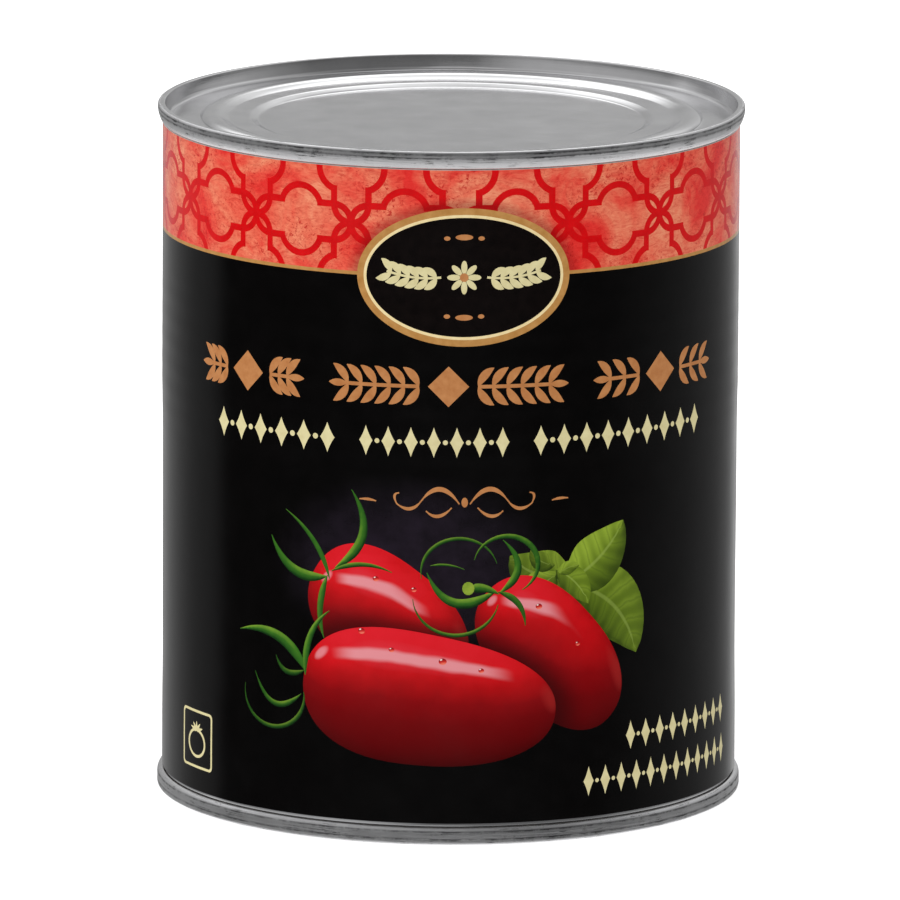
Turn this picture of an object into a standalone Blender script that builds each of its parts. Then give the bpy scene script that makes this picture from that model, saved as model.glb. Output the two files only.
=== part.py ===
"""Tin of tomatoes, shut, of the 28 ounce size: a beaded steel body, two ends seamed onto it, and a paper label.

The tin stands on the rim of its bottom end, with the origin at the middle of that rim's plane and +Z up.
The view that shows the front of the label looks along +Y. Sizes are in millimetres until the mesh is made.
"""

import math

import bpy

MM = 0.001

# Driving dimensions
HEIGHT = 119.8
SEAM_RADIUS = 50.6
SEAM_HEIGHT = 3.1
SEAM_ROUND = 0.45
CREST_INNER = 49.75
CREST_OUTER = SEAM_RADIUS - SEAM_ROUND
BODY_RADIUS = 49.2
LABEL_RADIUS = 49.8
LABEL_THICKNESS = 0.3
LABEL_EDGE = 3.6
FIT_GAP = 0.3

# The sunk panel of each end: depths are measured from the crest of the seam
WALL_TOP = (49.25, 0.6)
WALL_FOOT = (48.9, 2.3)
FLOOR_OUTER = 48.4
FLOOR_DEPTH = 2.8
RING_BEAD_RADIUS = 41.2
RING_BEAD_HALF_WIDTH = 2.2
RING_BEAD_DEPTH = 1.9
TERRACE_OUTER = 38.4
TERRACE_INNER = 35.4
TERRACE_DEPTH = 2.58
PANEL_RADIUS = 33.2
PANEL_DEPTH = 3.2
PLUG_DEPTH = 4.2

# The beads rolled into the body, which stiffen it
BEAD_COUNT = 10
BEAD_PITCH = 7.0
BEAD_DEPTH = 0.4
BEAD_FLAT = 1.4

SEGMENTS = 64
ARC_STEPS = 3
MERGE_DISTANCE = 0.00001


def clear_scene():
    for obj in list(bpy.data.objects):
        bpy.data.objects.remove(obj, do_unlink=True)


def make_collection(name):
    collection = bpy.data.collections.new(name)
    bpy.context.scene.collection.children.link(collection)
    return collection


def make_material(name, colour, roughness, metallic):
    material = bpy.data.materials.new(name)
    material.use_nodes = True
    shader = material.node_tree.nodes["Principled BSDF"]
    shader.inputs["Base Color"].default_value = (*colour, 1.0)
    shader.inputs["Roughness"].default_value = roughness
    shader.inputs["Metallic"].default_value = metallic
    return material


def arc(centre, radii, start, end, steps=ARC_STEPS):
    """Points on part of an ellipse, from start to end degrees, where 0 points outward and 90 up to the crest."""
    points = []
    for i in range(steps + 1):
        angle = math.radians(start + (end - start) * i / steps)
        points.append((centre[0] + radii[0] * math.cos(angle), centre[1] - radii[1] * math.sin(angle)))
    return points


def end_outline():
    """Half section of a seamed end, as radius and depth below its crest, from the middle of the panel outward."""
    panel = [(0.0, PANEL_DEPTH), (PANEL_RADIUS, PANEL_DEPTH)]
    terrace = [(TERRACE_INNER, TERRACE_DEPTH), (TERRACE_OUTER, TERRACE_DEPTH)]
    bead_rise = FLOOR_DEPTH - RING_BEAD_DEPTH
    bead = arc((RING_BEAD_RADIUS, FLOOR_DEPTH), (RING_BEAD_HALF_WIDTH, bead_rise), 155.0, 0.0, 5)
    floor = [(FLOOR_OUTER, FLOOR_DEPTH)]
    foot_size = (WALL_FOOT[0] - FLOOR_OUTER, FLOOR_DEPTH - WALL_FOOT[1])
    foot = arc((FLOOR_OUTER, WALL_FOOT[1]), foot_size, -45.0, 0.0, 1)
    inner_roll = arc((CREST_INNER, WALL_TOP[1]), (CREST_INNER - WALL_TOP[0], WALL_TOP[1]), 180.0, 90.0, 2)
    outer_roll = arc((CREST_OUTER, SEAM_ROUND), (SEAM_ROUND, SEAM_ROUND), 90.0, 0.0)
    lower_roll = arc((CREST_OUTER, SEAM_HEIGHT - SEAM_ROUND), (SEAM_ROUND, SEAM_ROUND), 0.0, -90.0, 2)
    plug = [(BODY_RADIUS, SEAM_HEIGHT), (BODY_RADIUS, PLUG_DEPTH), (0.0, PLUG_DEPTH)]
    return panel + terrace + bead + floor + foot + inner_roll + outer_roll + lower_roll + plug


def body_outline():
    """Half section of the body between the two ends, top to bottom, with a row of shallow beads."""
    top = HEIGHT - PLUG_DEPTH - FIT_GAP
    bottom = PLUG_DEPTH + FIT_GAP
    points = [(0.0, top), (BODY_RADIUS, top)]
    first = HEIGHT / 2 + BEAD_PITCH * (BEAD_COUNT - 1) / 2
    for i in range(BEAD_COUNT):
        middle = first - i * BEAD_PITCH
        points.append((BODY_RADIUS, middle + BEAD_FLAT))
        points.append((BODY_RADIUS - BEAD_DEPTH, middle))
        points.append((BODY_RADIUS, middle - BEAD_FLAT))
    return points + [(BODY_RADIUS, bottom), (0.0, bottom)]


def label_outline():
    """Section of the paper sleeve, down its outside and up its inside."""
    inner = LABEL_RADIUS - LABEL_THICKNESS
    top = HEIGHT - LABEL_EDGE
    return [(LABEL_RADIUS, top), (LABEL_RADIUS, LABEL_EDGE), (inner, LABEL_EDGE), (inner, top)]


def turn(name, outline, material, collection, closed=False):
    """One solid of revolution: the outline lies in the XZ plane and a Screw modifier takes it round +Z."""
    vertices = [(radius * MM, 0.0, height * MM) for radius, height in outline]
    edges = [(i, i + 1) for i in range(len(vertices) - 1)]
    if closed:
        edges.append((len(vertices) - 1, 0))
    mesh = bpy.data.meshes.new(name)
    mesh.from_pydata(vertices, edges, [])
    mesh.materials.append(material)
    obj = bpy.data.objects.new(name, mesh)
    collection.objects.link(obj)
    screw = obj.modifiers.new("turn", "SCREW")
    screw.axis = "Z"
    screw.angle = math.tau
    screw.steps = SEGMENTS
    screw.render_steps = SEGMENTS
    screw.use_merge_vertices = True
    screw.merge_threshold = MERGE_DISTANCE
    screw.use_smooth_shade = True
    return obj


def build():
    clear_scene()
    parts = make_collection("tin_of_tomatoes")
    tinplate = make_material("tinplate", (0.63, 0.63, 0.64), 0.22, 1.0)
    body_steel = make_material("body_steel", (0.52, 0.52, 0.53), 0.3, 1.0)
    paper = make_material("label_paper", (0.012, 0.011, 0.012), 0.3, 0.0)

    section = end_outline()
    top = [(radius, HEIGHT - depth) for radius, depth in section]
    bottom = [(radius, depth) for radius, depth in reversed(section)]
    turn("top_end", top, tinplate, parts)
    turn("bottom_end", bottom, tinplate, parts)
    turn("can_body", body_outline(), body_steel, parts)
    turn("label", label_outline(), paper, parts, closed=True)


build()
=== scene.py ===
"""The looks of the tin of tomatoes: seamed steel ends, a printed paper label, a pale floor and soft light.

Lengths are in millimetres until a mesh is made. On the label, u runs to the right round the tin from the
middle of its front, as arc length at the label's radius, and z is the height above the floor.
"""

import math

import bpy
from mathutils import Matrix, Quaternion, Vector, noise
from mathutils.geometry import delaunay_2d_cdt


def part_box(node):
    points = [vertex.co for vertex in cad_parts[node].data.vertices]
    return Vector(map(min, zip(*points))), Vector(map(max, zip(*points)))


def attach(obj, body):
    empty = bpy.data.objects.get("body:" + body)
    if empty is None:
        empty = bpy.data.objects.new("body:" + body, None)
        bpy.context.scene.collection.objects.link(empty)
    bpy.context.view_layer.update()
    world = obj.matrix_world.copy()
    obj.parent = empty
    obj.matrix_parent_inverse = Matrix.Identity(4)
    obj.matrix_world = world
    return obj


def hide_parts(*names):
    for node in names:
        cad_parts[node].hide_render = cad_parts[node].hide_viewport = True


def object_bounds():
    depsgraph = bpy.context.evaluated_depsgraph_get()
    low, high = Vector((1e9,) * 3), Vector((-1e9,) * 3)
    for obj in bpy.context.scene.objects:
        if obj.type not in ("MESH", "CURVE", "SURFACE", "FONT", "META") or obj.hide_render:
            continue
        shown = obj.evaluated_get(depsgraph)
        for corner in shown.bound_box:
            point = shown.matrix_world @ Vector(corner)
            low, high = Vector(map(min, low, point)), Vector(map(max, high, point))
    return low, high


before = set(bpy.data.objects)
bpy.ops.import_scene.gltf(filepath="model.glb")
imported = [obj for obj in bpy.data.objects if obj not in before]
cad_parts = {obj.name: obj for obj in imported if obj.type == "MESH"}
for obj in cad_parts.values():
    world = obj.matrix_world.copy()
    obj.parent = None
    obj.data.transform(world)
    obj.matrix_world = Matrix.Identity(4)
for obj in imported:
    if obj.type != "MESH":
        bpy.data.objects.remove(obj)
cad_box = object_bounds()

MM = 0.001
HEIGHT = cad_box[1].z / MM
SEAM_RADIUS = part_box("top_end")[1].x / MM
LABEL_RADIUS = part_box("label")[1].x / MM
LABEL_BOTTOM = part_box("label")[0].z / MM
LABEL_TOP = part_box("label")[1].z / MM + 0.47
BODY_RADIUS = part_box("can_body")[1].x / MM
ROUND = math.tau * LABEL_RADIUS

# The sheet of paper starts behind the tin's right side, goes all the way round and laps over its start
LAP_U = 101.0
LAP = 6.0
LAP_LIFT = 0.12
SHEET_START = LAP_U - ROUND
SHEET_END = LAP_U + LAP
SHEET_BACK = BODY_RADIUS + 0.22
COLUMN = ROUND / 360

# The print. FRONT and BACK are the middles of the label's two facings, and places on a facing count from
# them. An oval is the u and z of its middle, its half width and its half height.
FRONT = 2.4
BACK = -153.0
HAZE = (-9.0, 48.0, 27.0, 17.0)
MEDALLION = (-0.1, 98.2, 18.4, 11.9)
SHADOW = (MEDALLION[0], MEDALLION[1], MEDALLION[2] + 1.6, MEDALLION[3] + 1.6)
GOLD_BORDER = 1.15
MEDALLION_BORDER = 1.65
BAND_BOTTOM = 98.76
BAND_TOP = LABEL_TOP - 0.12
RULE_BOTTOM = 98.16
COPPER_RUNS = ((-53.4, -27.5), (-24.4, 19.1), (22.2, 53.0))
COPPER_Z, COPPER_RISE, LEAF_PITCH = 79.4, 7.0, 2.7
CREAM_RUNS = ((-48.8, -21.6), (-18.8, 8.6), (11.2, 49.4))
CREAM_Z, CREAM_RISE, LOZENGE_PITCH = 69.75, 5.2, 4.2
FLOURISH = (0.2, 59.4)
BADGE = (-60.0, 7.5)
BADGE_SIZE = 10.2
PANEL_SIDES = (79.0, 97.0)
PANEL_FOOT, PANEL_TOP, PANEL_HEADER = 12.0, 90.0, 6.0

# The trellis: half the pitch of its cells, the first crossing, the width of its line and the lobes of a cell
TRELLIS_Z = 106.95
TRELLIS_HALF = 9.45
TRELLIS_PHASE = 1.66
TRELLIS_LINE = 1.16
END_LOBE = 3.1
TOP_LOBE = 3.93
TOP_LOBE_RISE = 1.92
LOBE_STEPS = 14


def srgb(red, green, blue):
    """A colour given as 0 to 255 in sRGB, as Blender's linear RGBA."""
    linear = []
    for value in (red / 255, green / 255, blue / 255):
        linear.append(value / 12.92 if value <= 0.04045 else ((value + 0.055) / 1.055) ** 2.4)
    return (*linear, 1.0)


def smooth(low, high, value):
    t = min(1.0, max(0.0, (value - low) / (high - low)))
    return t * t * (3.0 - 2.0 * t)


# Node helpers

def add(tree, kind, inputs=None, **settings):
    """A node with its properties set. Each input, by name or number, is a value or another node's output."""
    node = tree.nodes.new(kind)
    for name, value in settings.items():
        setattr(node, name, value)
    for name, value in (inputs or {}).items():
        if isinstance(value, bpy.types.NodeSocket):
            tree.links.new(value, node.inputs[name])
        else:
            node.inputs[name].default_value = value
    return node


def join(kind, inputs, **settings):
    """A node in the tree that its inputs come from."""
    tree = next(value.id_data for value in inputs.values() if isinstance(value, bpy.types.NodeSocket))
    return add(tree, kind, inputs, **settings)


def calc(operation, a, b=0.0):
    return join("ShaderNodeMath", {0: a, 1: b}, operation=operation).outputs[0]


def plus(a, b):
    return calc("ADD", a, b)


def minus(a, b):
    return calc("SUBTRACT", a, b)


def times(a, b):
    return calc("MULTIPLY", a, b)


def absolute(value):
    return calc("ABSOLUTE", value)


def span(value, low, high, to_low=0.0, to_high=1.0, shape="LINEAR"):
    """The value taken from one range to another, and held at its ends."""
    inputs = {"Value": value, "From Min": low, "From Max": high, "To Min": to_low, "To Max": to_high}
    return join("ShaderNodeMapRange", inputs, interpolation_type=shape).outputs[0]


def mix(factor, a, b, how="MIX"):
    return join("ShaderNodeMix", {0: factor, 6: a, 7: b}, data_type="RGBA", blend_type=how).outputs[2]


def ramp(value, stops):
    """A colour ramp through (position, colour) stops."""
    node = join("ShaderNodeValToRGB", {"Fac": value})
    elements = node.color_ramp.elements
    while len(elements) < len(stops):
        elements.new(1.0)
    for element, (position, colour) in zip(elements, stops):
        element.position = position
        element.color = colour
    return node.outputs["Color"]


def tones(value, *stops):
    """A colour ramp through stops of position, red, green and blue."""
    return ramp(value, [(position, srgb(*colour)) for position, *colour in stops])


def stretched(vector, scale):
    return join("ShaderNodeVectorMath", {0: vector, 1: scale}, operation="MULTIPLY").outputs[0]


def speck(vector, scale, detail, rough, warp=0.0):
    inputs = {"Vector": vector, "Scale": scale, "Detail": detail, "Roughness": rough, "Distortion": warp}
    return join("ShaderNodeTexNoise", inputs).outputs["Fac"]


def attribute(tree, name):
    return add(tree, "ShaderNodeAttribute", attribute_name=name).outputs["Vector"]


def parts_of(vector):
    return join("ShaderNodeSeparateXYZ", {0: vector}).outputs


def new_material(name):
    material = bpy.data.materials.new(name)
    material.use_nodes = True
    tree = material.node_tree
    return material, tree, tree.nodes["Principled BSDF"]


def emboss(shader, height, strength):
    """Bumps the surface by a height in millimetres."""
    bump = join("ShaderNodeBump", {"Strength": strength, "Distance": MM, "Height": height})
    bump.id_data.links.new(bump.outputs[0], shader.inputs["Normal"])


def new_object(name, data):
    obj = bpy.data.objects.new(name, data)
    bpy.context.scene.collection.objects.link(obj)
    return obj


# Inks: every one lies under the same gloss of the coated paper

def coat(name, paint):
    """A printed area. paint gets the socket of the place on the label and returns the ink's colour."""
    material, tree, shader = new_material(name)
    flat = attribute(tree, "flat")
    tree.links.new(paint(flat), shader.inputs["Base Color"])
    cloud = speck(flat, 0.09, 3.0, 0.55)
    tree.links.new(span(cloud, 0.3, 0.7, 0.15, 0.21), shader.inputs["Roughness"])
    tooth = speck(flat, 3.5, 2.0, 0.6)
    wave = speck(flat, 0.16, 2.0, 0.4)
    emboss(shader, plus(times(tooth, 0.0006), times(wave, 0.05)), 0.5)
    shader.inputs["IOR"].default_value = 1.38
    return material


def by_ovals(flat, oval, how, *fade):
    """A fade by the distance from the same oval on both facings, joined as how says. fade is as in span."""
    u, z, _ = parts_of(flat)
    fades = []
    for middle in (FRONT, BACK):
        across = calc("DIVIDE", minus(u, middle + oval[0]), oval[2])
        up = calc("DIVIDE", minus(z, oval[1]), oval[3])
        reach = plus(times(across, across), times(up, up))
        fades.append(span(reach, *fade))
    return calc(how, *fades)


def paint_black(flat):
    """The ground: near black, with a faint violet haze behind each picture."""
    haze = by_ovals(flat, HAZE, "MAXIMUM", 1.0, 0.0, 0.0, 1.0, "SMOOTHSTEP")
    cloud = span(speck(flat, 0.22, 5.0, 0.65), 0.25, 0.75)
    haze = times(haze, plus(times(cloud, 0.7), 0.3))
    ground = mix(cloud, srgb(6, 5, 5), srgb(12, 10, 10))
    return mix(haze, ground, srgb(38, 30, 42))


def shaded_by_medallions(flat, ground):
    """The ground, darker in the soft shadow that each medallion casts on the band."""
    light = by_ovals(flat, SHADOW, "MINIMUM", 0.86, 1.06, 0.62, 1.0)
    return mix(1.0, ground, light, "MULTIPLY")


def paint_coral(flat):
    """The band: coral, cloudy and worn like old plaster, with red washes and small dark pits in places."""
    patch = span(speck(flat, 0.075, 4.0, 0.62, 0.8), 0.34, 0.66)
    ground = tones(patch, (0.0, 226, 48, 42), (0.3, 232, 84, 66), (0.6, 234, 116, 88), (1.0, 238, 142, 108))
    streak = stretched(flat, (0.5, 1.3, 1.0))
    brush = span(speck(streak, 0.8, 8.0, 0.78, 1.6), 0.34, 0.66)
    wash = ramp(brush, [
        (0.0, (0.72, 0.22, 0.24, 1)), (0.45, (1, 0.9, 0.9, 1)), (1.0, (1.12, 1.55, 1.5, 1))])
    ground = mix(0.75, ground, wash, "MULTIPLY")
    worn = span(speck(flat, 0.11, 3.0, 0.55), 0.42, 0.60)
    pits = span(speck(flat, 1.5, 6.0, 0.80, 0.7), 0.54, 0.60)
    ground = mix(times(worn, pits), ground, srgb(190, 16, 20))
    return shaded_by_medallions(flat, ground)


def paint_trellis(flat):
    cloud = span(speck(flat, 0.5, 5.0, 0.65), 0.3, 0.7)
    ground = mix(cloud, srgb(202, 0, 5), srgb(220, 4, 10))
    return shaded_by_medallions(flat, ground)


def flat_ink(dark, light):
    """A plain ink with the slight unevenness of print."""
    def paint(flat):
        cloud = span(speck(flat, 0.6, 4.0, 0.6), 0.3, 0.7)
        return mix(cloud, srgb(*dark), srgb(*light))
    return paint


def pictured_normal(flat):
    """The way the drawn form faces, as right, up and out of the paper, and how much light it gets."""
    right, up, lit = parts_of(attribute(flat.id_data, "form"))
    flat_part = plus(times(right, right), times(up, up))
    out = calc("SQRT", calc("MAXIMUM", minus(1.0, flat_part), 0.0))
    normal = join("ShaderNodeCombineXYZ", {0: right, 1: up, 2: out}).outputs[0]
    return normal, lit


def facing(normal, direction):
    direction = Vector(direction).normalized()
    return join("ShaderNodeVectorMath", {0: normal, 1: direction}, operation="DOT_PRODUCT").outputs["Value"]


def paint_tomato(flat):
    """Ripe skin lit softly from above: a long pale strip of gloss, and a deep red underside."""
    normal, lit = pictured_normal(flat)
    right, up, _ = parts_of(normal)
    key = facing(normal, (-0.12, 0.86, 0.36))
    cloud = speck(flat, 0.30, 3.0, 0.5)
    key = plus(key, times(minus(cloud, 0.5), 0.16))
    tone = tones(span(key, -1.0, 1.0),
                 (0.0, 56, 0, 1), (0.30, 94, 0, 3), (0.52, 112, 0, 4), (0.68, 136, 1, 7),
                 (0.80, 176, 3, 10), (0.89, 208, 10, 20), (1.0, 222, 24, 38))
    wander = times(minus(speck(flat, 0.16, 1.0, 0.5), 0.5), 0.10)
    from_strip = absolute(plus(minus(up, 0.58), wander))
    strip = span(from_strip, 0.125, 0.04, shape="SMOOTHSTEP")
    reach = span(absolute(plus(right, 0.03)), 0.50, 0.22, shape="SMOOTHSTEP")
    spot = span(facing(normal, (-0.66, 0.58, 0.48)), 0.986, 0.999, 0.0, 0.8, "SMOOTHSTEP")
    gloss = calc("MAXIMUM", times(strip, reach), spot)
    halo = span(facing(normal, (-0.06, 0.62, 0.78)), 0.955, 1.0, 0.0, 0.3)
    edge = span(facing(normal, (0.86, 0.20, 0.30)), 0.93, 0.99, 0.0, 0.2)
    tone = mix(edge, tone, srgb(214, 60, 54))
    tone = mix(halo, tone, srgb(222, 70, 84))
    tone = mix(times(gloss, 0.86), tone, srgb(230, 152, 158))
    return mix(lit, srgb(46, 3, 5), tone)


def paint_drop(flat):
    """A bead of water on the skin: dark above, bright where the light gathers below."""
    normal, _ = pictured_normal(flat)
    low = span(facing(normal, (0.2, -0.9, 0.3)), -0.4, 0.9)
    tone = tones(low, (0.0, 130, 6, 10), (0.6, 208, 40, 36), (1.0, 240, 120, 96))
    shine = span(facing(normal, (-0.4, 0.55, 0.7)), 0.93, 0.97)
    return mix(shine, tone, srgb(250, 220, 214))


def paint_sepal(flat):
    """Stalk and calyx: green, pale along the lit edge."""
    normal, lit = pictured_normal(flat)
    key = facing(normal, (-0.35, 0.75, 0.5))
    tone = tones(span(key, -0.8, 1.0),
                 (0.0, 8, 26, 10), (0.4, 20, 60, 20), (0.75, 52, 108, 30), (1.0, 118, 158, 50))
    cloud = span(speck(flat, 0.5, 3.0, 0.6), 0.3, 0.7)
    uneven = ramp(cloud, [(0.0, (0.45, 0.6, 0.6, 1)), (1.0, (1.6, 1.25, 0.9, 1))])
    tone = mix(0.35, tone, uneven, "MULTIPLY")
    return mix(lit, srgb(8, 26, 12), tone)


def paint_basil(flat):
    """A basil leaf, quilted between its veins, with a pale midrib. place is how far along and across."""
    normal, lit = pictured_normal(flat)
    along, across, _ = parts_of(attribute(flat.id_data, "place"))
    side = absolute(across)
    slant = minus(times(along, 2.3), times(side, 4.2))
    wobble = times(speck(flat, 0.6, 2.0, 0.5), 1.6)
    wave = calc("SINE", plus(slant, wobble))
    quilt = span(wave, -1.0, 1.0, -0.14, 0.12)
    key = plus(facing(normal, (-0.3, 0.8, 0.5)), quilt)
    tone = tones(span(key, -0.7, 1.0),
                 (0.0, 36, 52, 10), (0.35, 68, 88, 20), (0.7, 102, 126, 30), (1.0, 146, 172, 52))
    vein = span(wave, 0.86, 1.0)
    tone = mix(times(vein, 0.3), tone, srgb(58, 80, 18))
    rib = span(side, 0.075, 0.03)
    tone = mix(times(rib, 0.5), tone, srgb(150, 172, 78))
    return mix(lit, srgb(18, 34, 8), tone)


# Flat outlines, in u and z

def turned(x, y, turn):
    return x * math.cos(turn) - y * math.sin(turn), x * math.sin(turn) + y * math.cos(turn)


def ellipse(centre, radii, steps, turn=0.0):
    points = []
    for i in range(steps):
        angle = math.tau * i / steps
        x, y = turned(radii[0] * math.cos(angle), radii[1] * math.sin(angle), turn)
        points.append((centre[0] + x, centre[1] + y))
    return points


def box_outline(left, bottom, right, top):
    return [(left, bottom), (right, bottom), (right, top), (left, top)]


def round_box(left, bottom, right, top, corner):
    points = []
    corners = ((right - corner, top - corner), (left + corner, top - corner),
               (left + corner, bottom + corner), (right - corner, bottom + corner))
    for quarter, (x, y) in enumerate(corners):
        points += arc_line((x, y), corner, 90.0 * quarter, 90.0 * (quarter + 1), 5)
    return points


def toward(start, length, angle, squash=1.0):
    """The point at a length and an angle in radians from start, with its height times squash."""
    return (start[0] + length * math.cos(angle), start[1] + length * squash * math.sin(angle))


def arc_line(centre, radius, start, end, steps, squash=1.0):
    """Points from start to end degrees round a centre."""
    angles = [math.radians(start + (end - start) * i / steps) for i in range(steps + 1)]
    return [toward(centre, radius, angle, squash) for angle in angles]


def bend_line(start, middle, end, steps):
    """A curve from start to end, drawn towards middle."""
    points = []
    for i in range(steps + 1):
        t = i / steps
        a, b, c = (1 - t) ** 2, 2 * t * (1 - t), t * t
        points.append((a * start[0] + b * middle[0] + c * end[0], a * start[1] + b * middle[1] + c * end[1]))
    return points


class Shape:
    """One printed area: its ink, its outline, and what the ink needs to know at a point."""

    def __init__(self, ink, outline, within=None):
        self.ink, self.outline, self.within = ink, outline, within

    def form(self, u, z):
        return (0.0, 0.0, 1.0)

    def place(self, u, z):
        return (0.0, 0.0, 0.0)


class Blade(Shape):
    """A leaf, sepal or stroke: a line with a half width at each of its points."""

    def __init__(self, ink, line, halves, tilt=0.0, lit=1.0):
        self.line, self.halves, self.tilt, self.lit = line, halves, tilt, lit
        self.lengths = [0.0]
        for a, b in zip(line, line[1:]):
            self.lengths.append(self.lengths[-1] + math.dist(a, b))
        left, right = [], []
        for i, (x, y) in enumerate(line):
            nx, ny = self.side(i)
            left.append((x + nx * halves[i], y + ny * halves[i]))
            right.append((x - nx * halves[i], y - ny * halves[i]))
        super().__init__(ink, right + left[::-1])

    def side(self, i):
        """The unit vector to the left of the line at its point i."""
        a, b = self.line[max(0, i - 1)], self.line[min(len(self.line) - 1, i + 1)]
        length = math.dist(a, b)
        return (-(b[1] - a[1]) / length, (b[0] - a[0]) / length)

    def nearest(self, u, z):
        best = None
        for i, (a, b) in enumerate(zip(self.line, self.line[1:])):
            dx, dy = b[0] - a[0], b[1] - a[1]
            t = min(1.0, max(0.0, ((u - a[0]) * dx + (z - a[1]) * dy) / (dx * dx + dy * dy)))
            away = math.hypot(u - a[0] - t * dx, z - a[1] - t * dy)
            if best is None or away < best[0]:
                length = math.hypot(dx, dy)
                sign = 1.0 if dx * (z - a[1]) - dy * (u - a[0]) > 0 else -1.0
                half = self.halves[i] + t * (self.halves[i + 1] - self.halves[i])
                along = self.lengths[i] + t * length
                best = (away, sign * away / max(half, 0.05), along, (-dy / length, dx / length))
        return best

    def form(self, u, z):
        _, across, _, side = self.nearest(u, z)
        lean = max(-0.92, min(0.92, across)) * (1.0 - self.tilt) + self.tilt
        return (side[0] * lean, side[1] * lean, self.lit)

    def place(self, u, z):
        _, across, along, _ = self.nearest(u, z)
        return (along, max(-1.0, min(1.0, across)), 0.0)


def tapered(widest, steps, fat, tip):
    """Half widths along a blade that is widest at the share fat of its length."""
    halves = []
    for i in range(steps + 1):
        t = i / steps
        swell = math.sin(math.pi / 2 * t / fat) if t < fat else math.cos(math.pi / 2 * (t - fat) / (1 - fat))
        halves.append(max(tip, widest * max(swell, 0.0) ** 0.75))
    return halves


class Plum(Shape):
    """A plum tomato: a long egg, stout at its stalk end."""

    def __init__(self, centre, length, width, turn, taper, rise=0.0, shadows=()):
        self.centre, self.a, self.b = centre, length / 2, width / 2
        self.turn, self.taper, self.rise, self.shadows = math.radians(turn), taper, rise, shadows
        points = []
        for x, y in ellipse((0.0, 0.0), (1.0, 1.0), 72):
            x = math.copysign(abs(x) ** 0.82, x)
            y = math.copysign(abs(y) ** 0.91, y)
            points.append(self.outward(x, y * (1 + taper * x)))
        super().__init__("tomato", points)

    def outward(self, x, y):
        """A point of the egg's own frame, from -1 to 1 each way, on the label."""
        x, y = turned(x * self.a, y * self.b, self.turn)
        return (self.centre[0] + x, self.centre[1] + y)

    def inward(self, u, z):
        x, y = turned(u - self.centre[0], z - self.centre[1], -self.turn)
        return x / self.a, y / self.b / (1 + self.taper * x / self.a)

    def reach(self, u, z):
        """0 at the middle and 1 on the outline."""
        x, y = self.inward(u, z)
        return (abs(x) ** 2.44 + abs(y) ** 2.2) ** 0.43

    def form(self, u, z):
        x, y = self.inward(u, z)
        reach = min(1.0, self.reach(u, z))
        along = x * abs(x) ** 0.6 * self.b / self.a * 1.35
        out = math.sqrt(max(0.0, 1 - reach ** 2.1))
        size = math.sqrt(along ** 2 + y ** 2 + out ** 2) or 1.0
        right, up = turned(along / size, y / size, self.turn)
        up += self.rise
        beyond = max(1.0, math.hypot(right, up))
        lit = 1.0
        for other in self.shadows:
            lit *= 0.25 + 0.75 * smooth(0.98, 1.3, other.reach(u, z))
        return (right / beyond, up / beyond, lit)


class Dome(Shape):
    """A small round form, such as a drop or the cut end of a stalk."""

    def __init__(self, ink, centre, radii):
        self.centre, self.radii = centre, radii
        super().__init__(ink, ellipse(centre, radii, 14))

    def form(self, u, z):
        x, y = (u - self.centre[0]) / self.radii[0], (z - self.centre[1]) / self.radii[1]
        size = max(1.0, math.hypot(x, y) / 0.97)
        return (x / size, y / size, 1.0)


# What is printed

def band():
    """The coral band all the way round, its gold rule and its trellis of notched four-lobed cells."""
    left, right = SHEET_START + 0.4, SHEET_END - 0.4
    # The unprinted paper margin under the top seam, grey with painted shade from the seam's overhang
    shapes = [Shape("shaded_paper_edge", box_outline(left, BAND_TOP - 1.0, right, LABEL_TOP)),
              Shape("coral", box_outline(left, BAND_BOTTOM, right, BAND_TOP)),
              Shape("gold", box_outline(left, RULE_BOTTOM, right, BAND_BOTTOM))]
    first = math.floor((left - TRELLIS_PHASE) / (2 * TRELLIS_HALF)) - 1
    last = math.ceil((right - TRELLIS_PHASE) / (2 * TRELLIS_HALF)) + 1
    for k in range(first, last + 1):
        crossing = TRELLIS_PHASE + 2 * TRELLIS_HALF * k
        shapes += cell(crossing + TRELLIS_HALF, TRELLIS_Z, False)
        shapes += cell(crossing, TRELLIS_Z + TRELLIS_HALF, True)
        shapes += cell(crossing, TRELLIS_Z - TRELLIS_HALF, True)
    return shapes


def cell(u, z, upright):
    """The line round one cell: lobes at its ends, wider lobes at its sides, and a small step between them."""
    half = TRELLIS_LINE / 2
    end_centre = TRELLIS_HALF - END_LOBE
    notch = math.degrees(math.asin((END_LOBE - TOP_LOBE_RISE) / TOP_LOBE))
    corner = TOP_LOBE * math.cos(math.radians(notch))
    pieces = [ring_piece((end_centre, 0.0), END_LOBE, -90.0, 90.0),
              ring_piece((0.0, TOP_LOBE_RISE), TOP_LOBE, notch, 180.0 - notch),
              box_outline(corner - half, END_LOBE - half, end_centre, END_LOBE + half),
              box_outline(-end_centre, END_LOBE - half, half - corner, END_LOBE + half)]
    shapes = []
    for piece in pieces:
        for sign in (1, -1):
            points = [(sign * x, sign * y) for x, y in piece]
            if upright:
                points = [(-y, x) for x, y in points]
            shapes.append(Shape("trellis", [(u + x, z + y) for x, y in points], "coral"))
    return shapes


def ring_piece(centre, radius, start, end):
    half = TRELLIS_LINE / 2
    outer = arc_line(centre, radius + half, start, end, LOBE_STEPS)
    return outer + arc_line(centre, radius - half, end, start, LOBE_STEPS)


def sided_line(origin, side, start, middle, end, steps):
    """A bent line with its points counted from origin, to the right where side is 1 and to the left at -1."""
    points = [(origin[0] + side * x, origin[1] + y) for x, y in (start, middle, end)]
    return bend_line(*points, steps)


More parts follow.
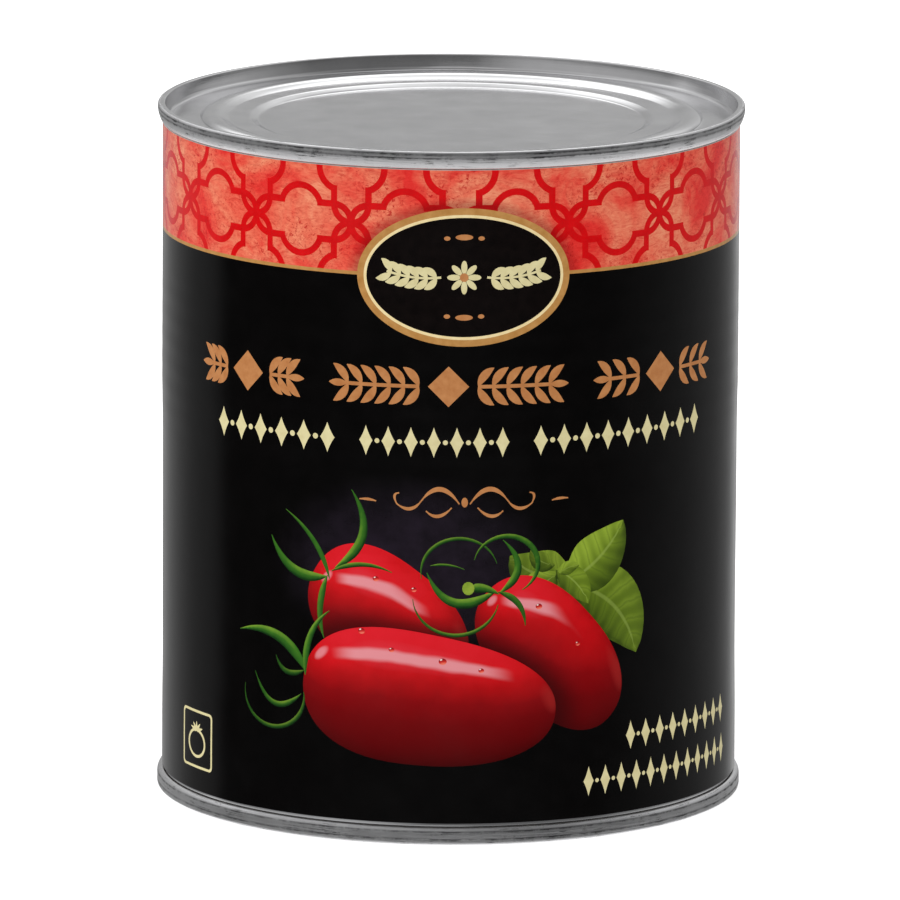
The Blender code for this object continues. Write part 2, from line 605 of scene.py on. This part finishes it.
def medallion(middle):
    """A plain oval with a gold border, and in its field a rosette between two sprigs."""
    u, z, wide, high = MEDALLION
    centre = (middle + u, z)
    shapes = []
    for ink, inset in (("gold", 0.0), ("pale_gold", GOLD_BORDER), ("medallion", MEDALLION_BORDER)):
        shapes.append(Shape(ink, ellipse(centre, (wide - inset, high - inset), 96)))
    for i in range(8):
        turn = math.tau * i / 8
        shapes.append(Shape("cream", ellipse(toward(centre, 1.75, turn), (1.15, 0.52), 16, turn)))
    shapes.append(Shape("copper", ellipse(centre, (0.75, 0.75), 16)))
    for side in (1, -1):
        stem = sided_line(centre, side, (3.9, 0.0), (8.5, -0.6), (13.2, 0.9), 12)
        shapes.append(Blade("cream", stem, [0.2] * 13))
        for i in range(1, 12, 2):
            for up in (1, -1):
                shapes.append(sprig_leaf("cream", stem, i, side, up, 2.9, 0.62, 38.0))
    for up in (1, -1):
        shapes.append(Shape("copper", ellipse((centre[0], z + up * 6.9), (1.5, 0.5), 20)))
        for side in (1, -1):
            shapes.append(Shape("copper", ellipse((centre[0] + side * 2.9, z + up * 6.7), (0.55, 0.38), 12)))
    return shapes


def sprig_leaf(ink, stem, i, side, up, length, half, angle):
    """A small leaf that leaves a stem at its point i, forward and to one side."""
    ahead = stem[min(i + 1, len(stem) - 1)]
    behind = stem[max(i - 1, 0)]
    heading = math.atan2(ahead[1] - behind[1], ahead[0] - behind[0])
    tip = toward(stem[i], length, heading + up * side * math.radians(angle))
    middle = toward(stem[i], 0.55 * length, heading + up * side * math.radians(angle + 22.0))
    return Blade(ink, bend_line(stem[i], middle, tip, 8), tapered(half, 8, 0.5, 0.05))


def garland(ink, left, right, z, rise, pitch):
    """A level stem with pairs of leaves that point outward from its middle, where a lozenge sits."""
    centre = (left + right) / 2
    shapes = [Shape(ink, ellipse((centre, z), (rise * 0.5, rise * 0.5), 4))]
    for side, end in ((-1, left), (1, right)):
        start = centre + side * rise * 0.72
        pairs = max(1, round(abs(end - start - side * rise * 0.55) / pitch))
        step = (end - side * rise * 0.62 - start) / pairs
        stem = [(start + step * i / 2, z) for i in range(2 * pairs + 1)]
        shapes.append(Blade(ink, stem, [rise * 0.045] * len(stem)))
        for i in range(0, 2 * pairs + 1, 2):
            for up in (1, -1):
                shapes.append(sprig_leaf(ink, stem, i, side, up, rise * 0.60, rise * 0.105, 50.0))
        shapes.append(sprig_leaf(ink, stem, 2 * pairs, side, 0, rise * 0.5, rise * 0.09, 0.0))
    return shapes


def chain(ink, left, right, z, rise, links):
    """Upright lozenges with a bead between each two."""
    shapes = []
    pitch = (right - left) / links
    for i in range(links):
        middle = left + pitch * (i + 0.5)
        shapes.append(Shape(ink, lozenge((middle, z), pitch * 0.30, rise * 0.5)))
        if i + 1 < links:
            shapes.append(Shape(ink, ellipse((middle + pitch / 2, z), (pitch * 0.11, pitch * 0.11), 12)))
    return shapes


def lozenge(centre, half_width, half_height):
    """A diamond with slightly hollow sides."""
    corners = [(half_width, 0), (0, half_height), (-half_width, 0), (0, -half_height)]
    points = []
    for a, b in zip(corners, corners[1:] + corners[:1]):
        inner = ((a[0] + b[0]) * 0.40, (a[1] + b[1]) * 0.40)
        points += bend_line(a, inner, b, 5)[:-1]
    return [(centre[0] + x, centre[1] + y) for x, y in points]


def flourish(middle, z):
    """A pen flourish of two facing scrolls, with a short dash at each end."""
    shapes = [Shape("copper", ellipse((middle, z), (0.55, 0.85), 16))]
    strokes = (((0.9, -0.3), (4.2, 4.6), (7.4, 0.2), 16, 0.42, 0.12),
               ((7.4, 0.2), (9.2, -2.3), (11.6, -0.4), 10, 0.3, 0.12),
               ((11.6, -0.4), (12.6, 1.4), (11.2, 1.5), 8, 0.22, 0.12),
               ((2.2, -0.9), (4.6, -3.6), (6.6, -1.5), 12, 0.3, 0.12),
               ((15.2, -0.1), (16.6, 0.3), (18.2, 0.1), 6, 0.24, 0.1))
    for side in (1, -1):
        for start, bend, end, steps, widest, tip in strokes:
            line = sided_line((middle, z), side, start, bend, end, steps)
            shapes.append(Blade("copper", line, tapered(widest, steps, 0.5, tip)))
    return shapes


def basil(root, tip, bow, half, tilt, lit=1.0):
    """One leaf from its root to its tip, bowed sideways by bow."""
    middle = ((root[0] + tip[0]) / 2 - (tip[1] - root[1]) * bow,
              (root[1] + tip[1]) / 2 + (tip[0] - root[0]) * bow)
    line = bend_line(root, middle, tip, 16)
    return Blade("basil", line, tapered(half, 16, 0.42, 0.04), tilt=tilt, lit=lit)


def strand(start, middle, end, half, lit=1.0, fat=0.3):
    return Blade("sepal", bend_line(start, middle, end, 18), tapered(half, 18, fat, 0.07), lit=lit)


def curl(centre, radius, start, end, half, lit=1.0, fat=0.4):
    """A strand that curls round, from start to end degrees."""
    line = arc_line(centre, radius, start, end, 22, 0.9)
    return Blade("sepal", line, tapered(half, 22, fat, 0.07), lit=lit)


def still_life(middle):
    """Three plum tomatoes with their calyxes, and a sprig of basil: u is counted from the facing's middle."""
    front = Plum((middle - 6.0, 25.0), 45.0, 22.8, -7.0, -0.14)
    back = Plum((middle - 13.0, 39.0), 30.5, 19.8, -33.0, -0.10, 0.2, (front,))
    right = Plum((middle + 15.8, 32.6), 32.5, 18.8, -46.0, -0.03, 0.08, (front,))

    def at(u, z):
        return (middle + u, z)

    shapes = [
        basil(at(20.0, 45.5), at(8.0, 50.0), 0.24, 4.7, 0.15, 0.8),
        basil(at(18.5, 44.6), at(32.4, 31.2), 0.30, 6.0, -0.1, 0.85),
        basil(at(17.6, 44.6), at(29.4, 54.6), -0.18, 4.8, 0.1),
        basil(at(16.2, 46.8), at(8.8, 43.0), 0.2, 2.9, 0.1, 0.9),
        basil(at(16.0, 48.0), at(11.6, 50.8), 0.25, 1.7, 0.2, 0.75),
        basil(at(16.2, 47.2), at(22.4, 40.8), 0.2, 2.5, 0.0),
        basil(at(16.8, 46.4), at(20.6, 47.6), 0.2, 1.2, 0.2, 0.9),
        right,
        back,
        strand(at(-23.8, 45.6), at(-31.4, 43.8), at(-35.0, 51.6), 0.92),
        strand(at(-23.4, 45.2), at(-25.2, 52.4), at(-32.0, 56.4), 0.46),
        strand(at(-22.4, 47.2), at(-13.8, 52.6), at(-19.4, 61.0), 0.82),
        strand(at(-23.0, 46.6), at(-17.4, 49.4), at(-12.2, 47.0), 0.42, 0.8),
        strand(at(-23.8, 45.8), at(-26.2, 39.6), at(-24.4, 34.8), 0.6),
        front,
        strand(at(-27.8, 28.6), at(-32.4, 37.0), at(-42.2, 34.2), 0.98),
        strand(at(-28.0, 28.0), at(-28.4, 36.0), at(-23.4, 39.6), 0.62),
        strand(at(-28.2, 28.8), at(-32.4, 26.6), at(-34.0, 30.8), 0.5, 0.6),
        curl(at(-34.6, 24.0), 6.4, 10.0, -190.0, 0.42, 0.6, 0.3),
        strand(at(-28.8, 24.6), at(-35.0, 18.8), at(-38.6, 27.4), 0.52, 0.75),
        strand(at(5.6, 44.0), at(-2.6, 38.4), at(-6.2, 47.2), 0.86),
        curl(at(-0.6, 47.2), 6.6, -170.0, -345.0, 0.34, 0.75),
        curl(at(7.4, 48.4), 5.6, -60.0, 168.0, 0.5, 0.85),
        strand(at(6.2, 43.6), at(12.4, 47.6), at(6.8, 52.8), 0.7),
        curl(at(-1.2, 43.0), 7.4, -12.0, -176.0, 0.34, 0.8),
        strand(at(6.0, 43.8), at(10.6, 42.6), at(10.8, 37.8), 0.55, 0.8),
        strand(at(-5.6, 48.4), at(-2.6, 49.0), at(0.2, 47.8), 0.22, 0.8),
        strand(at(6.2, 43.4), at(3.6, 45.0), at(1.4, 44.4), 0.8, fat=0.8),
        Dome("stub", at(0.9, 44.5), (1.05, 1.15)),
    ]
    for u, z, size in ((-17.5, 36.6, 0.62), (-12.2, 33.6, 0.5), (-3.4, 31.8, 0.7), (3.2, 30.2, 0.5),
                       (-15.0, 45.8, 0.55), (-8.4, 44.2, 0.5), (13.2, 41.0, 0.6), (20.4, 34.0, 0.45)):
        shapes.append(Dome("drop", at(u, z), (size, size * 0.8)))
    return shapes


def facing_print(middle, with_corners):
    """Everything on one face of the label below the band."""
    shapes = still_life(middle)
    shapes += medallion(middle)
    for left, right in COPPER_RUNS:
        shapes += garland("copper", middle + left, middle + right, COPPER_Z, COPPER_RISE, LEAF_PITCH)
    for left, right in CREAM_RUNS:
        links = round((right - left) / LOZENGE_PITCH)
        shapes += chain("cream", middle + left, middle + right, CREAM_Z, CREAM_RISE, links)
    shapes += flourish(middle + FLOURISH[0], FLOURISH[1])
    if with_corners:
        shapes += chain("cream", middle + 29.6, middle + 60.6, 16.9, 5.0, 9)
        shapes += chain("cream", middle + 21.0, middle + 61.0, 9.8, 5.2, 12)
        shapes += badge(middle + BADGE[0], BADGE[1])
    return shapes


def badge(left, bottom):
    """A small outlined square with a tomato in it, drawn in one colour."""
    right, top, line = left + BADGE_SIZE, bottom + BADGE_SIZE, 0.45
    middle = (left + BADGE_SIZE / 2, bottom + BADGE_SIZE / 2 - 0.7)
    shapes = [Shape("cream", round_box(left, bottom, right, top, 0.9)),
              Shape("black", round_box(left + line, bottom + line, right - line, top - line, 0.6)),
              Shape("cream", ellipse(middle, (3.0, 2.6), 32)),
              Shape("black", ellipse(middle, (2.5, 2.1), 32))]
    stalk = (middle[0], middle[1] + 2.2)
    for tip in arc_line(stalk, 2.1, 20.0, 160.0, 4, 1.6 / 2.1):
        shapes.append(Blade("cream", bend_line(stalk, stalk, tip, 6)[1:], tapered(0.36, 5, 0.4, 0.06)))
    return shapes


def panel(left, right, rows):
    """A plain panel: a thin frame, a header of lozenges, and rows of bars between light rules."""
    bottom, top, line = PANEL_FOOT, PANEL_TOP, 0.35
    shapes = [Shape("cream", box_outline(left, bottom, right, top)),
              Shape("black", box_outline(left + line, bottom + line, right - line, top - line))]
    shapes += chain("copper", left + 1.6, right - 1.6, top - 0.5 - PANEL_HEADER / 2, 3.4, 5)
    first = top - PANEL_HEADER - 0.8
    shapes.append(Shape("cream", box_outline(left + 1.4, first - 0.4, right - 1.4, first + 0.4)))
    pitch = (first - bottom) / (rows + 0.5)
    for i in range(1, rows + 1):
        z = first - pitch * i
        bar = z + pitch * 0.5
        length = (right - left - 7.0) * (0.45 + 0.3 * math.sin(2.3 * i) ** 2)
        for box in ((left + 1.4, z - 0.1, right - 1.4, z + 0.1),
                    (left + 1.8, bar - 0.42, left + 1.8 + length, bar + 0.42),
                    (right - 4.0, bar - 0.42, right - 1.8, bar + 0.42)):
            shapes.append(Shape("cream", box_outline(*box)))
    return shapes


# The sheet

def noise_round(angle, size, height):
    """Smooth noise that closes on itself round the tin. A greater size gives finer noise."""
    return noise.noise(Vector((size * math.cos(angle), size * math.sin(angle), height)))


def swell(u, z):
    """How far the paper stands from a true cylinder: slack here and there, and drawn in over the beads."""
    angle = u / LABEL_RADIUS
    slack = 0.05 * noise_round(angle, 1.6, z / 26.0)
    waist = -0.12 * smooth(12.0, 26.0, z) * (1.0 - smooth(62.0, 74.0, z))
    beads = smooth(58.0, 74.0, z) * (1.0 - smooth(88.0, 95.0, z))
    uneven = max(0.0, noise_round(angle, 2.2, z / 40.0 + 5.0) + 0.35)
    ripple = 0.022 * beads * uneven * math.cos(math.tau * z / 4.2)
    return slack + waist + ripple


def paper_radius(u, z):
    return LABEL_RADIUS - 0.02 + swell(u, z) + LAP_LIFT * smooth(LAP_U - 5.0, LAP_U, u)


def wrap(u, z, radius=None):
    """A point of the sheet's face on the tin, or at another radius, in metres."""
    angle = u / LABEL_RADIUS
    radius = paper_radius(u, z) if radius is None else radius
    return Vector((radius * math.sin(angle), -radius * math.cos(angle), z)) * MM


def paper_normal(u, z):
    step = 0.05
    across = wrap(u + step, z) - wrap(u - step, z)
    up = wrap(u, z + step) - wrap(u, z - step)
    return across.cross(up).normalized()


def rows_of_sheet():
    """Heights of the sheet's rows: close together where the beads show through the paper."""
    rows, z = [], LABEL_BOTTOM
    while z < LABEL_TOP - 0.5:
        rows.append(z)
        z += 0.7 if 62.0 < z < 92.0 else 1.5
    return rows + [LABEL_TOP]


def counter_clockwise(points):
    area = sum(a[0] * b[1] - b[0] * a[1] for a, b in zip(points, points[1:] + points[:1]))
    return points if area > 0 else points[::-1]


def arrange(shapes):
    """Cuts the sheet along every outline and its own grid, and finds the uppermost shape in each triangle."""
    points, edges, faces = [], [], []

    def line(a, b):
        edges.append((len(points), len(points) + 1))
        points.extend((Vector(a), Vector(b)))

    for shape in shapes:
        outline = counter_clockwise(shape.outline)
        faces.append(list(range(len(points), len(points) + len(outline))))
        points.extend(Vector(p) for p in outline)
    rows = rows_of_sheet()
    for z in rows[1:-1]:
        line((SHEET_START, z), (SHEET_END, z))
    column = math.ceil(SHEET_START / COLUMN) * COLUMN
    while column < SHEET_END - 0.1:
        if column > SHEET_START + 0.1:
            line((column, LABEL_BOTTOM), (column, LABEL_TOP))
        column += COLUMN
    corners, _, triangles, _, _, owners = delaunay_2d_cdt(points, edges, faces, 1, 0.0005, True)
    kept, tops = [], []
    for triangle, inside in zip(triangles, owners):
        if 0 not in inside:
            continue
        inks = {shapes[i].ink for i in inside}
        choices = [i for i in inside if shapes[i].within is None or shapes[i].within in inks]
        kept.append(triangle)
        tops.append(max(choices))
    return corners, kept, tops


def close_sheet(flat, vertices, faces):
    """Adds the sheet's back and its four edges to its printed face."""
    printed = len(flat)

    def edge_row(height):
        row = [i for i, (_, z) in enumerate(flat) if abs(z - height) < 0.001]
        return sorted(row, key=lambda i: flat[i][0])

    bottom, top = edge_row(LABEL_BOTTOM), edge_row(LABEL_TOP)
    inner = []
    for row in (bottom, top):
        inner.append(list(range(len(vertices), len(vertices) + len(row))))
        vertices += [wrap(*flat[i], SHEET_BACK) for i in row]
        flat += [flat[i] for i in row]
    for outer_row, inner_row, upward in ((bottom, inner[0], False), (top, inner[1], True)):
        for i in range(len(outer_row) - 1):
            face = (outer_row[i], outer_row[i + 1], inner_row[i + 1], inner_row[i])
            faces.append(face if upward else face[::-1])
    low, high = 0, 0
    while low < len(bottom) - 1 or high < len(top) - 1:
        next_low = flat[bottom[low + 1]][0] if low < len(bottom) - 1 else math.inf
        next_high = flat[top[high + 1]][0] if high < len(top) - 1 else math.inf
        if next_low <= next_high:
            faces.append((inner[0][low + 1], inner[0][low], inner[1][high]))
            low += 1
        else:
            faces.append((inner[0][low], inner[1][high], inner[1][high + 1]))
            high += 1
    for end, which in ((SHEET_START, 0), (SHEET_END, -1)):
        column = [i for i in range(printed) if abs(flat[i][0] - end) < 0.001]
        column.sort(key=lambda i: flat[i][1])
        face = column + [inner[1][which], inner[0][which]]
        faces.append(tuple(face if which == -1 else face[::-1]))


def ink_sheet(mesh, flat, shapes, tops, names):
    """Gives each face its ink, and each of its corners what the ink needs to know there."""
    normals = {}
    form = mesh.attributes.new("form", "FLOAT_VECTOR", "CORNER")
    place = mesh.attributes.new("place", "FLOAT_VECTOR", "CORNER")
    spread = mesh.attributes.new("flat", "FLOAT_VECTOR", "POINT")
    for i, (u, z) in enumerate(flat):
        spread.data[i].vector = (u, z, 0.0)
    split = []
    for number, polygon in enumerate(mesh.polygons):
        printed = number < len(tops)
        shape = shapes[tops[number]] if printed else shapes[0]
        polygon.material_index = names.index(shape.ink if printed else "shaded_paper_edge")
        for loop, vertex in zip(polygon.loop_indices, polygon.vertices):
            u, z = flat[vertex]
            form.data[loop].vector = shape.form(u, z)
            place.data[loop].vector = shape.place(u, z)
            if printed and vertex not in normals:
                normals[vertex] = paper_normal(u, z)
            split.append(normals[vertex] if printed else polygon.normal)
    mesh.polygons.foreach_set("use_smooth", [True] * len(mesh.polygons))
    mesh.normals_split_custom_set(split)


def print_label(shapes, inks):
    """The printed sheet as one closed solid, with an ink for each triangle of its face."""
    corners, triangles, tops = arrange(shapes)
    used = sorted({i for triangle in triangles for i in triangle})
    index = {old: new for new, old in enumerate(used)}
    flat = [(corners[i].x, corners[i].y) for i in used]
    vertices = [wrap(u, z) for u, z in flat]
    faces = [tuple(index[i] for i in triangle) for triangle in triangles]
    close_sheet(flat, vertices, faces)
    mesh = bpy.data.meshes.new("label_sheet")
    mesh.from_pydata(vertices, [], faces)
    for ink in inks.values():
        mesh.materials.append(ink)
    ink_sheet(mesh, flat, shapes, tops, list(inks))
    return new_object("label_sheet", mesh)


def make_label():
    paints = {
        "black": paint_black,
        "coral": paint_coral,
        "trellis": paint_trellis,
        "gold": flat_ink((176, 124, 62), (196, 146, 84)),
        "pale_gold": flat_ink((232, 208, 150), (244, 226, 176)),
        "medallion": flat_ink((12, 7, 7), (20, 13, 12)),
        "copper": flat_ink((180, 116, 66), (198, 136, 84)),
        "cream": flat_ink((214, 202, 150), (228, 218, 168)),
        "tomato": paint_tomato,
        "drop": paint_drop,
        "sepal": paint_sepal,
        "stub": flat_ink((112, 140, 36), (148, 172, 58)),
        "basil": paint_basil,
        # The paper margin's grey is painted shade from the overhang of the top seam
        "shaded_paper_edge": flat_ink((160, 156, 152), (186, 180, 176)),
    }
    inks = {name: coat("ink_" + name, paint) for name, paint in paints.items()}
    shapes = [Shape("black", box_outline(SHEET_START, LABEL_BOTTOM, SHEET_END, LABEL_TOP))]
    shapes += band()
    near, far = PANEL_SIDES
    shapes += panel(near, far, 14) + panel(-far, -near, 9)
    shapes += facing_print(BACK, False)
    shapes += facing_print(FRONT, True)
    return print_label(shapes, inks)


# Steel

# The folds of the seams, as height and half width, where the steel gets painted shade and grime, and the
# radii in metres between which the rim begins
FOLDS = ((HEIGHT - 0.42, 0.24), (HEIGHT - 1.12, 0.26), (2.3, 0.22), (1.0, 0.24))
RIM = (0.0499, 0.0503)


def steel(name):
    """Tinplate, clouded and finely scratched round the tin, with scuffed rims, and painted shade with grime
    in the folds of its seams, where the piece has them.
    """
    material, tree, shader = new_material(name)
    where = add(tree, "ShaderNodeTexCoord").outputs["Object"]
    x, y, z = parts_of(where)
    out = calc("SQRT", plus(times(x, x), times(y, y)))
    streaked = stretched(where, (90.0, 90.0, 3200.0))
    cloud = speck(where, 160.0, 4.0, 0.6)
    streak = speck(streaked, 1.0, 5.0, 0.7)
    patchy = speck(where, 55.0, 4.0, 0.65)

    # Painted shade and grime in the folds of the seams, as broken lines, and dark nicks where tins rub on
    # each other
    blot = speck(where, 380.0, 5.0, 0.75)
    wander = times(minus(blot, 0.5), 0.0005)
    fold_shade_and_grime = None
    for height, half in FOLDS:
        away = absolute(minus(plus(z, wander), height * MM))
        one = span(away, half * MM, half * MM * 0.3)
        fold_shade_and_grime = one if fold_shade_and_grime is None else calc("MAXIMUM", fold_shade_and_grime, one)
    fold_breakup = plus(span(patchy, 0.38, 0.62, 0.1, 0.5), span(blot, 0.40, 0.60, 0.05, 0.6))
    fold_shade_and_grime = times(fold_shade_and_grime, fold_breakup)
    rub = span(speck(streaked, 1.6, 6.0, 0.8), 0.54, 0.60)
    nick = times(rub, span(blot, 0.46, 0.58))
    shade_and_scuffs = times(calc("MAXIMUM", times(fold_shade_and_grime, 0.9), nick), span(out, *RIM))

    clean = mix(span(cloud, 0.3, 0.7), (0.60, 0.60, 0.61, 1), (0.66, 0.66, 0.67, 1))
    # The rims are darkened by painted shade with grime in the folds of the seams, and by the rubbed nicks
    tree.links.new(mix(shade_and_scuffs, clean, (0.06, 0.06, 0.062, 1)), shader.inputs["Base Color"])
    shader.inputs["Metallic"].default_value = 1.0
    rough = plus(span(cloud, 0.3, 0.7, 0.12, 0.18), times(shade_and_scuffs, 0.2))
    rough = plus(rough, span(out, 0.0500, 0.0504, 0.0, 0.24))
    tree.links.new(rough, shader.inputs["Roughness"])
    brushed = times(streak, span(out, *RIM, 0.011, 0.075))
    emboss(shader, plus(brushed, times(cloud, 0.0035)), 1.0)
    return material


def arc(centre, radii, start, end, steps):
    """Points on part of an ellipse in radius and depth, where 0 degrees points outward and 90 up."""
    points = []
    for i in range(steps + 1):
        angle = math.radians(start + (end - start) * i / steps)
        points.append((centre[0] + radii[0] * math.cos(angle), centre[1] - radii[1] * math.sin(angle)))
    return points


def end_section():
    """Half section of a seamed end from the middle of its panel out to its crest, as radius and depth."""
    points = [(0.0, 3.2), (12.0, 3.2), (24.0, 3.2), (32.6, 3.2)]
    points += arc((32.9, 2.8), (0.8, 0.4), -80.0, -25.0, 4)
    points += arc((35.2, 3.0), (1.0, 0.42), 150.0, 95.0, 4)
    points += [(36.6, 2.575), (37.9, 2.585)]
    points += arc((38.0, 2.28), (0.9, 0.3), -85.0, -35.0, 3)
    points += arc((41.2, 2.8), (2.1, 0.9), 145.0, 20.0, 12)
    points += arc((43.55, 2.55), (0.5, 0.25), -150.0, -90.0, 3)
    points += [(45.0, 2.8), (47.2, 2.8)]
    points += arc((48.05, 1.95), (0.85, 0.85), -84.0, -8.0, 7)
    points += [(49.03, 1.5), (49.3, 0.35)]
    points += arc((49.5, 0.2), (0.18, 0.2), 175.0, 92.0, 4)
    return points + arc((SEAM_RADIUS - 0.6, 0.42), (0.6, 0.42), 88.0, 0.0, 8)


# The outer face of each seam below its crest, where the folds of the sheet show
TOP_SEAM = [(50.6, 0.8), (50.59, 1.0), (50.56, 1.3), (50.49, 1.65), (50.39, 2.0), (50.26, 2.35),
            (50.12, 2.65), (49.98, 2.88), (49.86, 3.04), (49.6, 3.12)]
BOTTOM_SEAM = [(50.6, 0.8), (50.6, 1.5), (50.59, 2.1), (50.54, 2.35), (50.44, 2.6), (50.28, 2.82),
               (50.06, 2.98), (49.8, 3.08), (49.5, 3.1)]
PLUG = [(BODY_RADIUS + 0.1, 3.0), (BODY_RADIUS, 3.2), (BODY_RADIUS, 4.2), (0.0, 4.2)]

# The rims are dented slightly, by a share of their radius
SEGMENTS = 288
DENTED_FROM = 49.3
DENT = 0.0004


def lathe(name, section, material):
    """A turned solid in metres, from points of radius and height that run down its outer side."""
    vertices, faces, rings = [], [], []
    for number, (radius, height) in enumerate(section):
        if radius < 0.001:
            rings.append([len(vertices)])
            vertices.append((0.0, 0.0, height * MM))
            continue
        rings.append(list(range(len(vertices), len(vertices) + SEGMENTS)))
        for i in range(SEGMENTS):
            angle = math.tau * i / SEGMENTS
            wobble = 1.0
            if radius > DENTED_FROM:
                wobble -= DENT * (0.5 + 0.5 * noise_round(angle, 3.0, number * 0.15))
            reach = radius * wobble * MM
            vertices.append((reach * math.cos(angle), reach * math.sin(angle), height * MM))
    for upper, lower in zip(rings, rings[1:]):
        for i in range(SEGMENTS):
            j = (i + 1) % SEGMENTS
            if len(upper) == 1:
                faces.append((upper[0], lower[i], lower[j]))
            elif len(lower) == 1:
                faces.append((upper[i], lower[0], upper[j]))
            else:
                faces.append((upper[i], lower[i], lower[j], upper[j]))
    mesh = bpy.data.meshes.new(name)
    mesh.from_pydata(vertices, [], faces)
    mesh.materials.append(material)
    mesh.shade_smooth()
    mesh.set_sharp_from_angle(angle=math.radians(50.0))
    return new_object(name, mesh)


def make_ends():
    material = steel("tinplate_scuffed_fold_shade")
    section = end_section()
    top = [(radius, HEIGHT - depth) for radius, depth in section + TOP_SEAM + PLUG]
    bottom = list(reversed(section + BOTTOM_SEAM + PLUG))
    return lathe("end_top", top, material), lathe("end_bottom", bottom, material)


# Floor, light and camera

# Grey by direction for the reflections. LEFT and RIGHT are degrees round from the front, OVERHEAD is height.
LEFT = ((0, 0.05), (60, 0.02), (101, 0.02), (109, 0.20), (126, 0.22), (140, 0.32), (160, 0.44), (180, 0.46))
RIGHT = ((0, 0.05), (60, 0.02), (84, 0.10), (118, 0.22), (135, 0.26), (150, 0.36), (165, 0.7), (180, 0.46))
OVERHEAD = ((0.0, 0.0), (0.28, 0.0), (0.44, 1.5), (0.64, 1.3), (0.86, 0.42), (1.0, 0.42))
FLOOR_HALF = 3.0


def grey(value):
    return (value, value, value, 1.0)


def make_floor():
    """A plain pale floor that stays out of the reflections."""
    mesh = bpy.data.meshes.new("floor")
    corners = box_outline(-FLOOR_HALF, -FLOOR_HALF, FLOOR_HALF, FLOOR_HALF)
    mesh.from_pydata([(x, y, 0.0) for x, y in corners], [], [(0, 1, 2, 3)])
    material, tree, shader = new_material("floor_white")
    grain = speck(add(tree, "ShaderNodeTexCoord").outputs["Object"], 30.0, 2.0, 0.5)
    tree.links.new(mix(grain, grey(0.88), grey(0.92)), shader.inputs["Base Color"])
    shader.inputs["Roughness"].default_value = 0.9
    shader.inputs["Specular IOR Level"].default_value = 0.0
    shader.inputs["Emission Color"].default_value = (1, 1, 1, 1)
    shader.inputs["Emission Strength"].default_value = 0.62
    mesh.materials.append(material)
    floor = new_object("floor", mesh)
    floor.visible_glossy = False
    floor.visible_diffuse = False


def make_world():
    """Studio light: dark in front, pale at the sides, bright behind and above. The camera sees white."""
    world = bpy.data.worlds.new("studio")
    bpy.context.scene.world = world
    world.use_nodes = True
    tree = world.node_tree
    tree.nodes.clear()
    x, y, z = parts_of(add(tree, "ShaderNodeTexCoord").outputs["Generated"])
    turn = calc("DIVIDE", calc("ARCTAN2", x, times(y, -1.0)), math.pi)
    sides = [ramp(absolute(turn), [(degrees / 180.0, grey(value)) for degrees, value in stops])
             for stops in (LEFT, RIGHT)]
    side = mix(span(turn, -0.02, 0.02), *sides)
    lift = times(span(z, 0.0, 0.12, 0.0, 1.5), span(absolute(x), 0.5, 0.8))
    side = mix(1.0, side, plus(lift, 0.95), "MULTIPLY")
    above = ramp(z, [(height, grey(value)) for height, value in OVERHEAD])
    slant = calc("DIVIDE", x, calc("MAXIMUM", z, 0.05))
    edges = times(span(slant, 0.20, 0.36, 1.0, 0.25), span(slant, -0.36, -0.62, 1.0, 0.25))
    behind = times(span(y, -0.2, 0.4, 0.3, 1.0), edges)
    ahead = times(span(z, -0.02, 0.16, 0.0, 1.0), span(y, 0.6, 0.2))
    ahead = times(ahead, span(x, -0.12, -0.5, 0.12, 0.46))
    below = span(z, -0.26, -0.62, 0.0, 0.85)
    studio = side
    for more in (mix(1.0, above, behind, "MULTIPLY"), below, ahead):
        studio = mix(1.0, studio, more, "ADD")
    path = add(tree, "ShaderNodeLightPath")
    soft = ramp(span(z, -1.0, 1.0), [(0.0, grey(0.84)), (1.0, grey(0.98))])
    soft = mix(1.0, soft, span(x, 0.7, -0.9, 0.88, 1.34), "MULTIPLY")
    lit = mix(path.outputs["Is Diffuse Ray"], studio, soft)
    seen = mix(path.outputs["Is Camera Ray"], lit, grey(1.0))
    shader = add(tree, "ShaderNodeBackground", {"Color": seen, "Strength": 1.0})
    add(tree, "ShaderNodeOutputWorld", {"Surface": shader.outputs[0]})


CAMERA_DISTANCE = 2300.0
CAMERA_PITCH = 0.1963
CAMERA_AIM = (0.05, 58.61)
CAMERA_ROLL = 0.0054
CAMERA_LENS = 531.3


def make_camera():
    data = bpy.data.cameras.new("camera")
    data.sensor_width = 36.0
    data.lens = CAMERA_LENS
    data.clip_end = 20.0
    camera = new_object("camera", data)
    camera.location = Vector((CAMERA_AIM[0], -CAMERA_DISTANCE * math.cos(CAMERA_PITCH),
                              CAMERA_AIM[1] + CAMERA_DISTANCE * math.sin(CAMERA_PITCH))) * MM
    camera.rotation_mode = "QUATERNION"
    aim = Vector((CAMERA_AIM[0], 0.0, CAMERA_AIM[1])) * MM
    turn = (aim - camera.location).to_track_quat("-Z", "Y")
    camera.rotation_quaternion = turn @ Quaternion((0, 0, 1), CAMERA_ROLL)
    bpy.context.scene.camera = camera


def main():
    label = make_label()
    top, bottom = make_ends()
    stand_ins = ((label, "label", "label_paper"), (top, "top_end", "tinplate"),
                 (bottom, "bottom_end", "tinplate"))
    for piece, node, slot in stand_ins:
        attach(piece, "root")
        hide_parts(node)
    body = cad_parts["can_body"]
    body.data.materials.clear()
    body.data.materials.append(steel("body_steel_dull"))
    make_floor()
    make_world()
    make_camera()
    bpy.context.scene.view_settings.view_transform = "Standard"


main()
